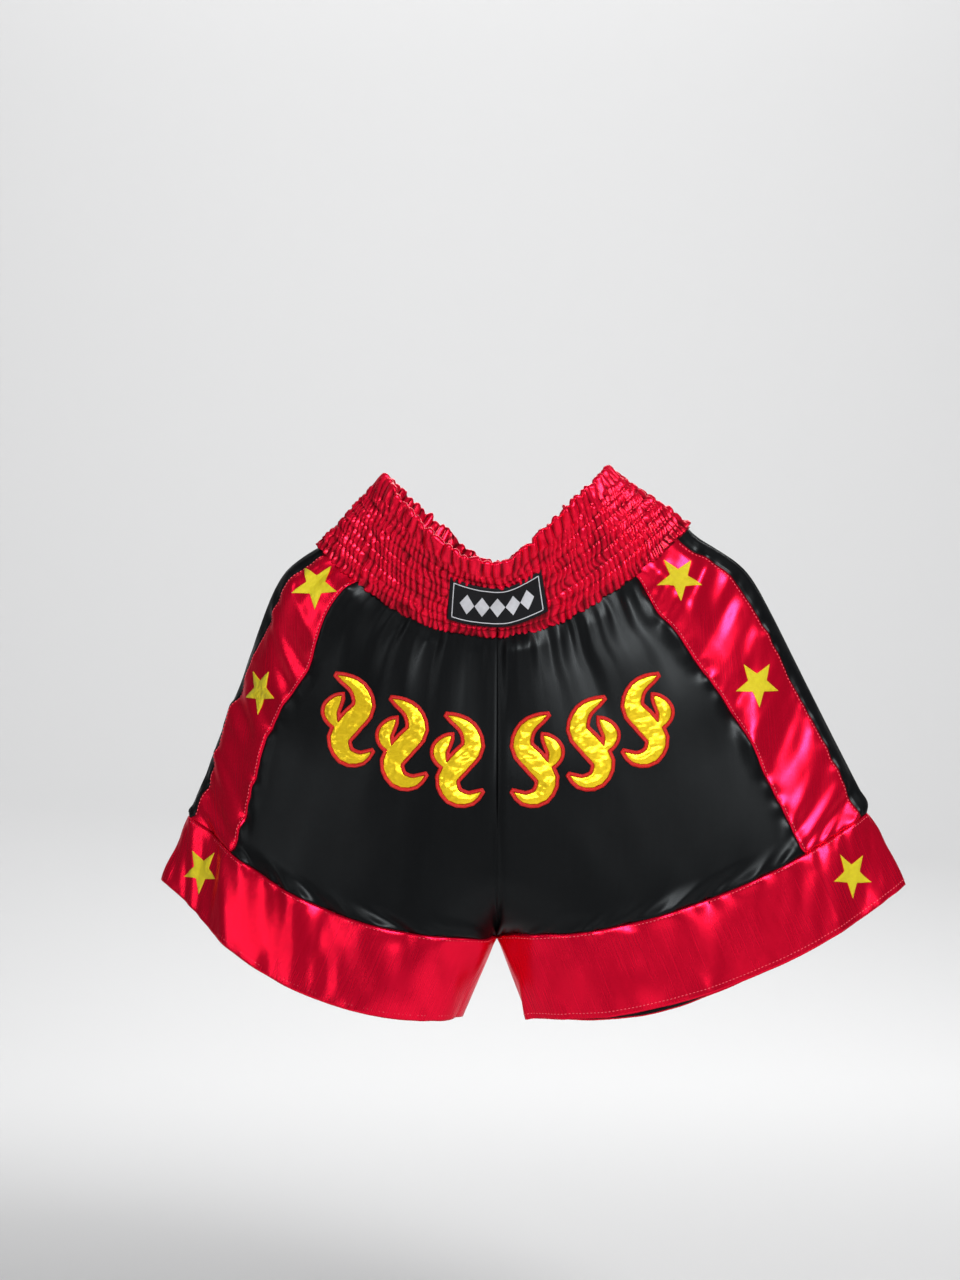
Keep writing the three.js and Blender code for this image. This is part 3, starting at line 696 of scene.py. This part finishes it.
def shirr(a, up, puff, seed):  # how far one wall stands off the middle of the band, in mm
    s = np.interp(a, lapRange, lapLength)
    height = bandHeight(a)
    y = up * height
    top = height - shirring["header"]
    row = (y - shirring["lower"]) / (top - shirring["lower"]) * pattern["rows"]
    lean = shirring["lean"] * np.clip(np.where(a <= 4, a, a - 8) / 1.5, -1, 1)
    across = s - lean * y
    drift = 0.55 * valueNoise(across / 14, row * 0.75, seed) + 0.3 * valueNoise(across / 6, row * 1.1, seed + 1)
    q = across / shirring["pitch"] + drift
    ridge = np.abs(np.cos(math.pi * q)) ** 0.85
    fine = np.abs(np.cos(math.pi * (across / shirring["fine"] + 1.4 * drift
                                    + 0.4 * valueNoise(across / 5, row * 1.6, seed + 3)))) ** 0.8
    uneven = 1 + 0.45 * valueNoise(across / 8, row * 1.2, seed + 4)
    stitched = np.abs(np.cos(math.pi * np.clip(row, 0, pattern["rows"]))) ** 10
    puffs = puff * (0.78 * ridge + 0.22 * fine) * uneven * (1 - 0.26 * stitched)
    headerWay = across / shirring["headerPitch"] + 0.35 * valueNoise(across / 10, y / 14, seed + 7)
    headerPuffs = shirring["headerPuff"] * puff / shirring["puff"] * np.abs(np.cos(math.pi * headerWay)) ** 0.8
    headerPuffs = headerPuffs * (1 + 0.35 * valueNoise(across / 9, y / 20, seed + 8)) + 0.25 * puffs
    inHeader = ease(-2.5, 1.5, y - top)
    relief = puffs * (1 - inHeader) + headerPuffs * inHeader
    middle = np.interp(0.0, lapRange, lapLength)
    inside = np.minimum(np.minimum(36 - abs(s - middle), y - 6), 43 - y)
    calm = 1 - 0.75 * ease(-0.5, 2.5, inside) * (puff > 2)
    return shirring["flat"] + relief * calm - shirring["stitchDip"] * stitched


def ruffleWave(a, up, seed=301):  # the free header above the last elastic, and the lower edge, wave to and fro
    s = np.interp(a, lapRange, lapLength)
    header = ease(0.90, 1.0, up)
    lower = ease(0.07, 0.0, up)
    wave = valueNoise(s / 4.6, 0.0, seed) + 0.5 * valueNoise(s / 2.6, 3.0, seed)
    edge = abs(valueNoise(s / 2.1, 7.0, seed))
    return shirring["ruffle"] * header * wave + shirring["hemRuffle"] * lower * edge


def bandSurface(a, up, offset):
    a, up = np.broadcast_arrays(np.asarray(a, float), np.asarray(up, float))
    return bandAt(a, up) + bandNormal(a, up) * (offset + ruffleWave(a, up))[..., None]


def casingPiece(name, node, start, end):
    length = np.interp(end, lapRange, lapLength) - np.interp(start, lapRange, lapLength)
    columns = round(length / shirring["step"])
    along = np.linspace(0, 1, columns + 1) * length + np.interp(start, lapRange, lapLength)
    a = np.interp(along, lapLength, lapRange)
    outer, fold, inner = shirring["outerRows"], shirring["foldRows"], shirring["innerRows"]
    ups = np.concatenate([np.linspace(-0.02, 1, outer + 1), np.ones(fold - 1), np.linspace(1, -0.04, inner + 1)])
    turn = np.concatenate([np.zeros(outer + 1), np.linspace(0, 1, fold + 1)[1:-1], np.ones(inner + 1)]) * math.pi
    aAt, upAt = np.meshgrid(a, ups)
    turned = np.broadcast_to(turn[:, None], aAt.shape)
    seed = shirring["seed"]
    out = shirr(aAt, upAt, shirring["puff"], seed)
    back = shirr(aAt, upAt, shirring["innerPuff"], seed + 40)
    overFold = np.cos(turned) * (out + back) / 2 + (out - back) / 2
    offset = np.where(turned == 0, out, np.where(turned == math.pi, -back, overFold))
    upward = unit(bandAt(aAt, np.ones_like(aAt)) - bandAt(aAt, np.zeros_like(aAt)))
    s = np.broadcast_to(along, aAt.shape)
    rise = shirring["ruffleRise"] * ease(0.93, 1, upAt) * (0.3 + valueNoise(s / 4.6, 0.0, seed + 70))
    rise = rise + np.sin(turned) * (out + back) / 2
    drop = shirring["hemRuffle"] * ease(0.05, -0.02, upAt) * valueNoise(s / 5.2, 2.0, seed + 80) * (turned == 0)
    points = bandSurface(aAt, upAt, offset) + upward * (rise - drop)[..., None]
    v = np.concatenate([ups[:outer + 1] * 77, 77 + np.arange(1, fold), 84 + (1 - ups[outer + fold:]) * 77])
    uv = np.stack([s * 1.7, np.broadcast_to(v[:, None], aAt.shape)], -1)
    level = np.where(turned == 0, (out - shirring["flat"]) / shirring["puff"],
                     np.where(turned == math.pi, (back - shirring["flat"]) / shirring["innerPuff"], 0.7))
    # where the gathers sink, the colour is darkened by painted shade
    piece = gridPiece(name, columns, len(ups) - 1, points, uv, ease(0.75, 0.05, level))
    mesh = piece.data
    probe = min(mesh.polygons, key=lambda f: (f.center - Vector(points[outer // 2, columns // 2] * mm)).length)
    if probe.normal.dot(Vector(bandNormal(a[columns // 2:columns // 2 + 1], np.array([0.5]))[0])) < 0:
        mesh.flip_normals()
    thicken(piece, shirring["thickness"])
    dress(piece, "gatheredSatin", node)
    return piece


def elasticPiece(k):  # a tape in the casing, with its ribs across
    length = lapLength[-1]
    columns = 640
    a = np.interp(np.linspace(0.3, length - 0.3, columns + 1), lapLength, lapRange)
    height = bandHeight(a)
    margin = pattern["casingMargin"]
    middle = (margin + (height - 2 * margin) * (k + 0.5) / pattern["rows"]) / height
    reach = np.linspace(-0.5, 0.5, 7)[:, None] * pattern["elastic"] / height
    aAt = np.broadcast_to(a, (7, columns + 1))
    rib = 0.12 * np.cos(np.arange(columns + 1) * math.pi / 2) + 0.3
    points = bandAt(aAt, middle + reach) + bandNormal(aAt, middle + reach) * rib[None, :, None]
    uv = np.stack([np.broadcast_to(np.linspace(0, length, columns + 1), aAt.shape),
                   np.broadcast_to(np.linspace(0, 5, 7)[:, None], aAt.shape)], -1)
    piece = gridPiece("elastic_tape_" + str(k + 1), columns, 6, points, uv)
    thicken(piece, 0.6)
    dress(piece, "elasticTape", "elastic_row_" + str(k + 1))
    return piece


casings = [
    casingPiece("waistband_shirred_front_right", "waistband_casing_front", -3, 0),
    casingPiece("waistband_shirred_front_left", "waistband_casing_front", 0, 3),
    casingPiece("waistband_shirred_back", "waistband_casing_back", 3, 5),
]
elastics = [elasticPiece(k) for k in range(pattern["rows"])]
print("waistband gathered")

allowance = {"width": 9, "depth": 0.95, "thickness": 0.35}


def stripPiece(name, node, lines, tRange):  # lines is a list of (side, c at the middle, direction)
    rows = 150
    t = np.linspace(*tRange, rows + 1)
    across = np.linspace(-0.5, 0.5, 9) * allowance["width"]
    points = np.zeros((rows + 1, 9, 3))
    for j, reach in enumerate(across):
        side, c0, way = lines[0] if reach < 0 else lines[-1]
        c = np.full(rows + 1, float(c0))
        slope = np.linalg.norm(clothBase(side, c + 0.02 * way, t) - clothBase(side, c, t), axis=-1) / 0.02
        points[:, j] = surface(side, c + way * abs(reach) / slope, t, -allowance["depth"])
    uv = np.stack(np.broadcast_arrays(across[None, :], -t[:, None] * 280), -1)
    piece = gridPiece(name, 8, rows, points, uv)
    thicken(piece, allowance["thickness"])
    dress(piece, "blackSatin", node)
    return piece


seams = []
for side in halves:
    for face, c0 in (("front", 1.0), ("back", 2.0)):
        end = face + "_" + side
        seams.append(stripPiece("seam_allowance_" + end, "side_seam_" + end, [(side, c0, -1), (side, c0, 1)],
                                (0.01, 0.995)))
for face, c0, way in (("front", 0.0, 1), ("back", 4.0, -1)):
    seams.append(stripPiece("seam_allowance_centre_" + face, "centre_seam_" + face,
                            [("right", c0, way), ("left", c0, way)], (0.01, 0.62)))


# what is sewn on is carried from the flat pattern to the draped cloth
def patternTree(at, aLine, bLine):  # a tree of the smooth pattern surface, with the parameters of each triangle
    aAt, bAt = np.meshgrid(aLine, bLine)
    points = at(aAt, bAt)
    rows, columns = aAt.shape
    corner = np.arange(rows * columns).reshape(rows, columns)
    quad = np.stack([corner[:-1, :-1], corner[:-1, 1:], corner[1:, 1:], corner[1:, :-1]], -1).reshape(-1, 4)
    tris = np.concatenate([quad[:, [0, 1, 2]], quad[:, [0, 2, 3]]])
    flat = points.reshape(-1, 3)
    tree = BVHTree.FromPolygons([tuple(p) for p in flat], [tuple(map(int, t)) for t in tris])
    return tree, flat, tris, np.stack([aAt.ravel(), bAt.ravel()], -1)


def locate(tree, points):  # where each point lies on the pattern, as its two parameters
    search, flat, tris, params = tree
    hits = [search.find_nearest(Vector(p)) for p in points]
    spot = np.array([h[0] for h in hits])
    tri = tris[[h[2] for h in hits]]
    p0, p1, p2 = flat[tri[:, 0]], flat[tri[:, 1]], flat[tri[:, 2]]
    e1, e2, d = p1 - p0, p2 - p0, spot - p0
    d11, d12, d22 = (e1 * e1).sum(-1), (e1 * e2).sum(-1), (e2 * e2).sum(-1)
    d1, d2 = (d * e1).sum(-1), (d * e2).sum(-1)
    det = np.maximum(d11 * d22 - d12 * d12, 1e-12)
    u, v = (d22 * d1 - d12 * d2) / det, (d11 * d2 - d12 * d1) / det
    shares = ((1 - u - v)[:, None], u[:, None], v[:, None])
    return sum(params[tri[:, k]] * shares[k] for k in range(3))


def remeshed(node, size):  # an even closed mesh of a CAD solid, as points in mm with their normals
    source = nodes[node]
    copy = newObject("working", source.data.copy())
    bm = bmesh.new()
    bm.from_mesh(copy.data)
    bmesh.ops.remove_doubles(bm, verts=bm.verts, dist=1e-6)
    bm.to_mesh(copy.data)
    bm.free()
    change = copy.modifiers.new("Even", "REMESH")
    change.mode = "VOXEL"
    change.voxel_size = size * mm
    mesh = bpy.data.meshes.new_from_object(copy.evaluated_get(bpy.context.evaluated_depsgraph_get()))
    bpy.data.objects.remove(copy)
    return mesh, readPoints(mesh).astype(float) / mm


shellTrees = {side: patternTree(lambda c, t, side=side: patternPoint(side, c, t),
                                np.linspace(0, 3, 180), np.linspace(0, 2, 260)) for side in halves}


# profile gives the height on the cloth, from the mm to the edge, c and t
def sewOn(name, node, side, material, size, profile, spread=0.0):
    mesh, points = remeshed(node, size)
    at = locate(shellTrees[side], points)
    outward = clothNormal(side, at[:, 0], at[:, 1])
    normals = np.array([v.normal for v in mesh.vertices])
    facing = (normals * outward).sum(-1)
    sideways = np.abs(facing) < 0.55
    cut = KDTree(int(sideways.sum()))
    for k in np.nonzero(sideways)[0]:
        cut.insert(points[k], int(k))
    cut.balance()
    edge = np.array([cut.find(p)[2] for p in points])
    points = points + unit(normals - outward * facing[:, None]) * (spread * sideways)[:, None]
    at = locate(shellTrees[side], points)
    share = ease(-0.6, 0.6, facing)
    placed = surface(side, at[:, 0], at[:, 1], 0.15 + share * profile(edge, at[:, 0], at[:, 1]))
    writePoints(mesh, placed)
    mesh.shade_smooth()
    mesh.update()
    piece = newObject(name, mesh)
    dress(piece, material, node)
    return piece


def starHeight(edge, c, t):  # a filled star: firm edge, low dome, and lumps from close rows of thread
    dome = 0.55 + 0.75 * np.clip(edge / 3.2, 0, 1) ** 0.7
    return dome + 0.22 * valueNoise(c * 46, t * 150, 5) * np.clip(edge, 0, 1)


def ropeHeight(edge, c, t):  # a satin-stitch border is round across
    return 0.35 + 1.15 * np.sqrt(np.clip(1 - (1 - np.clip(edge / 1.1, 0, 1)) ** 2, 0, 1))


def goldHeight(edge, c, t):  # gold satin, held down by the border and puckered between its edges
    puff = 0.3 + 0.9 * np.clip(edge / 4.0, 0, 1) ** 0.6
    wrinkles = valueNoise(c * 16 + t * 9, t * 52, 21) + 0.6 * valueNoise(c * 40, t * 90 - c * 20, 22)
    return puff + 0.6 * np.clip(edge / 3, 0, 1) * wrinkles


ornaments = {side: [] for side in halves}
for side in halves:
    for place in ("upper", "middle", "hem"):
        name = "star_" + place + "_embroidered_" + side
        ornaments[side].append(sewOn(name, "star_" + place + "_" + side, side, "yellowThread", 0.42, starHeight))
    for place in ("inner", "middle", "outer"):
        end = place + "_" + side
        ornaments[side] += [
            sewOn("flame_" + place + "_applique_" + side, "flame_" + end, side, "goldSatin", 0.5, goldHeight, 0.2),
            sewOn("flame_" + place + "_stitching_" + side, "flame_border_" + end, side, "redThread", 0.42,
                  ropeHeight, 0.3)]
print("ornaments sewn on")

# the woven label, with a plain border and lozenges
label = {"width": 70, "height": 35, "lift": 2.7, "thickness": 0.5, "border": 3.2, "line": 0.7, "lozenges": 5,
         "lozenge": (5.2, 8.5), "lozengeThickness": 0.3, "lineThickness": 0.25}


def labelPoint(x, z, lift):  # x and z in mm from the label's middle, on the band
    a = np.interp(np.interp(0.0, lapRange, lapLength) + x, lapLength, lapRange)
    up = label["centreUp"] + z / bandHeight(a)
    sag = 0.5 * valueNoise(x / 13, z / 17, 61) + 0.35 * valueNoise(x / 6, z / 30, 62)
    return bandAt(a, up) + bandNormal(a, up) * (lift + sag)[..., None]


def labelUp():  # the height share of the label's middle, from the CAD label's own box
    low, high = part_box("waist_label")
    ups = np.linspace(0, 1, 201)
    points = bandAt(np.zeros(201), ups)
    return float(ups[np.argmin(abs(points[:, 2] - (low.z + high.z) / 2 / mm))])


label["centreUp"] = labelUp()


def labelPatch(name, xRange, zRange, lift, thickness, material="silverThread", node=None):
    columns = max(2, round(abs(xRange[1] - xRange[0]) / 0.8))
    rows = max(2, round(abs(zRange[1] - zRange[0]) / 0.8))
    xAt, zAt = np.meshgrid(np.linspace(*xRange, columns + 1), np.linspace(*zRange, rows + 1))
    piece = gridPiece(name, columns, rows, labelPoint(xAt, zAt, lift), np.stack([xAt, zAt], -1))
    if piece.data.polygons[0].normal.y > 0:
        piece.data.flip_normals()
    thicken(piece, thickness, offset=1)
    dress(piece, material, node)
    return piece


def lozengePatch(name, x, half):
    bm = bmesh.new()
    bmesh.ops.create_grid(bm, x_segments=8, y_segments=8, size=1)
    turn = Matrix.Rotation(math.pi / 4, 3, "Z")
    bmesh.ops.rotate(bm, verts=bm.verts, cent=(0, 0, 0), matrix=turn)
    flat = np.array([v.co for v in bm.verts]) / math.sqrt(2)
    placed = labelPoint(x + flat[:, 0] * half[0], flat[:, 1] * half[1], label["lift"] + label["thickness"])
    for v, p in zip(bm.verts, placed):
        v.co = p * mm
    mesh = meshFrom(bm, name)
    if mesh.polygons[0].normal.y > 0:
        mesh.flip_normals()
    piece = newObject(name, mesh)
    thicken(piece, label["lozengeThickness"], offset=1)
    dress(piece, "silverThread")
    return piece


halfWide, halfHigh = label["width"] / 2, label["height"] / 2
labelPiece = labelPatch("label_woven", (-halfWide, halfWide), (-halfHigh, halfHigh), label["lift"],
                        label["thickness"], "labelWeave", "waist_label")
raised = label["lift"] + label["thickness"]
innerX, innerZ = halfWide - label["border"], halfHigh - label["border"]
onLabel = []
for name, x, z in (("top", 0, innerZ), ("bottom", 0, -innerZ), ("left", innerX, 0), ("right", -innerX, 0)):
    wide = label["line"] / 2 if x else innerX
    high = innerZ if x else label["line"] / 2
    onLabel.append(labelPatch("label_line_" + name, (x - wide, x + wide), (z - high, z + high), raised,
                              label["lineThickness"]))
for k in range(label["lozenges"]):
    x = (k - (label["lozenges"] - 1) / 2) * 2.05 * label["lozenge"][0]
    onLabel.append(lozengePatch("label_lozenge_" + str(k + 1), x, label["lozenge"]))

stitch = {"length": 2.1, "pitch": 2.9, "radius": 0.28, "lift": 0.42}


def stitchLine(name, side, cLine, tLine):
    points = surface(side, cLine, tLine, stitch["lift"])
    normals = clothNormal(side, cLine, tLine)
    along = measured(points)
    bm = bmesh.new()
    for s in np.arange(stitch["pitch"] / 2, along[-1], stitch["pitch"]):
        where = np.array([np.interp(s, along, points[:, k]) for k in range(3)])
        ahead = np.array([np.interp(s + 0.6, along, points[:, k]) for k in range(3)])
        out = np.array([np.interp(s, along, normals[:, k]) for k in range(3)])
        x = Vector(ahead - where).normalized()
        z = (Vector(out) - x * x.dot(Vector(out))).normalized()
        basis = Matrix((x, z.cross(x), z)).transposed().to_4x4()
        size = Matrix.Diagonal((stitch["length"] / 2 * mm, stitch["radius"] * mm, stitch["radius"] * mm, 1))
        bmesh.ops.create_icosphere(bm, subdivisions=1, radius=1,
                                   matrix=Matrix.Translation(Vector(where) * mm) @ basis @ size)
    mesh = meshFrom(bm, name)
    mesh.shade_smooth()
    piece = newObject(name, mesh)
    dress(piece, "seamThread")
    return piece


topstitching = {side: [] for side in halves}
for side in halves:
    fine = np.linspace(0.02, 0.985, 300)
    inset = 2.2 / pattern["stripe"]
    for face, c0 in (("front", 1 + inset), ("back", 2 - inset)):
        name = "stitching_stripe_" + face + "_" + side
        topstitching[side].append(stitchLine(name, side, np.full(300, c0), fine))
    for face, cRange in (("front", (0.01, 3)), ("back", (3, 3.99))):
        c = np.linspace(*cRange, 500)
        for edge, t in (("top", 1 + 2.2 / pattern["hem"]), ("bottom", 2 - 4 / pattern["hem"])):
            topstitching[side].append(
                stitchLine("stitching_hem_" + face + "_" + edge + "_" + side, side, c, np.full(500, t)))
print("stitched")

cuts = {  # the sheets of each side as cut: width and length in m, flat area in m2, left then right
    "front_panel_cloth_": ((0.270, 0.252, 0.0450), (0.258, 0.252, 0.0430)),
    "side_stripe_cloth_": ((0.068, 0.258, 0.0150), (0.062, 0.247, 0.0130)),
    "back_panel_cloth_": ((0.352, 0.262, 0.0700), (0.292, 0.256, 0.0550)),
    "hem_band_front_cloth_": ((0.342, 0.066, 0.0218), (0.314, 0.066, 0.0194)),
    "hem_band_back_cloth_": ((0.342, 0.070, 0.0224), (0.284, 0.067, 0.0176)),
    "hem_facing_front_cloth_": ((0.342, 0.064, 0.0208), (0.314, 0.064, 0.0185)),
    "hem_facing_back_cloth_": ((0.342, 0.068, 0.0213), (0.284, 0.065, 0.0167)),
}
sewnTo = {"waistband_shirred_back": elastics, "waistband_shirred_front_left": [labelPiece] + onLabel}


def homeOf(piece, side):  # the sheet that a sewn-on piece goes with
    for key, kind in (("flame", "front_panel"), ("hem_back", "hem_band_back"), ("hem", "hem_band_front"),
                      ("allowance", "back_panel")):
        if key in piece.name:
            return kind + "_cloth_" + side
    return "side_stripe_cloth_" + side


for side in halves:
    for piece in ornaments[side] + topstitching[side]:
        sewnTo.setdefault(homeOf(piece, side), []).append(piece)
for strip in seams:
    side = "left" if strip.name.endswith("left") else "right"
    sewnTo.setdefault(homeOf(strip, side), []).append(strip)
cutSizes = {kind + side: sizes[k] for kind, sizes in cuts.items() for k, side in enumerate(halves)}
cutSizes["waistband_shirred_front_right"] = (0.200, 0.160, 0.0320)
cutSizes["waistband_shirred_front_left"] = (0.211, 0.160, 0.0337)
cutSizes["waistband_shirred_back"] = (0.388, 0.160, 0.0620)

view = {"distance": 2400, "centre": (-12.6, -124), "frameHeight": 948, "floor": -760, "wall": 4200, "sweep": 1800}


def plainMaterial(name, colour, roughness):
    material = bpy.data.materials.new(name)
    material.use_nodes = True
    shader = material.node_tree.nodes["Principled BSDF"]
    shader.inputs["Base Color"].default_value = (*colour, 1)
    shader.inputs["Roughness"].default_value = roughness
    shader.inputs["Specular IOR Level"].default_value = 0.1
    return material


def makeFloor():  # one pale sheet that lies as the floor and sweeps up behind
    bm = bmesh.new()
    wide, radius = 9000, view["sweep"]
    start = bm.verts.new((-wide * mm, -9000 * mm, view["floor"] * mm))
    bend = bm.verts.new((-wide * mm, (view["wall"] - radius) * mm, view["floor"] * mm))
    bm.edges.new((start, bend))
    turned = bmesh.ops.spin(bm, geom=[bend], cent=(-wide * mm, (view["wall"] - radius) * mm,
                                                   (view["floor"] + radius) * mm),
                            axis=(1, 0, 0), angle=math.pi / 2, steps=24, use_merge=False)
    last = [v for v in turned["geom_last"] if isinstance(v, bmesh.types.BMVert)][0]
    top = bm.verts.new((-wide * mm, last.co.y, 9000 * mm))
    bm.edges.new((last, top))
    drawn = bmesh.ops.extrude_edge_only(bm, edges=bm.edges[:])
    moved = [v for v in drawn["geom"] if isinstance(v, bmesh.types.BMVert)]
    bmesh.ops.translate(bm, verts=moved, vec=(2 * wide * mm, 0, 0))
    bmesh.ops.recalc_face_normals(bm, faces=bm.faces)
    mesh = meshFrom(bm, "floor")
    mesh.shade_smooth()
    floor = newObject("floor", mesh)
    floor.data.materials.append(plainMaterial("paleFloor", (0.70, 0.70, 0.70), 0.8))


def addLight(name, place, power, size, target=(0, 0, -0.2)):
    lamp = bpy.data.lights.new(name, "AREA")
    lamp.energy = power
    lamp.shape = "RECTANGLE"
    lamp.size, lamp.size_y = size
    light = bpy.data.objects.new(name, lamp)
    bpy.context.scene.collection.objects.link(light)
    light.location = place
    light.rotation_euler = (Vector(target) - Vector(place)).to_track_quat("-Z", "Y").to_euler()


def makeCamera():
    lens = bpy.data.cameras.new("camera")
    lens.lens = lens.sensor_width * view["distance"] / view["frameHeight"]
    camera = bpy.data.objects.new("camera", lens)
    camera.location = (view["centre"][0] * mm, -view["distance"] * mm, view["centre"][1] * mm)
    camera.rotation_euler = (math.pi / 2, 0, 0)
    bpy.context.scene.collection.objects.link(camera)
    bpy.context.scene.camera = camera


makeFloor()
makeCamera()
bpy.context.scene.view_settings.view_transform = "Standard"
lights = {  # place, power, size
    "key": ((0.8, -1.7, 0.8), 50, (0.5, 0.5)), "fill": ((-1.7, -1.3, 0.3), 7, (0.4, 1.2)),
    "back": ((0.3, 2.7, 1.0), 26, (2.0, 1.6)),
}
for name, (place, power, size) in lights.items():
    addLight(name, place, power, size)
addLight("wallWash", (0, 1.8, 2.6), 88, (3.4, 0.8), (0, 4.2, 0.5))
world = bpy.data.worlds.new("studio")
bpy.context.scene.world = world
world.use_nodes = True
world.node_tree.nodes["Background"].inputs["Color"].default_value = (0.95, 0.96, 1.0, 1)
world.node_tree.nodes["Background"].inputs["Strength"].default_value = 0.19
for name in ("Cube", "Light", "Camera"):
    if name in bpy.data.objects:
        bpy.data.objects.remove(bpy.data.objects[name])
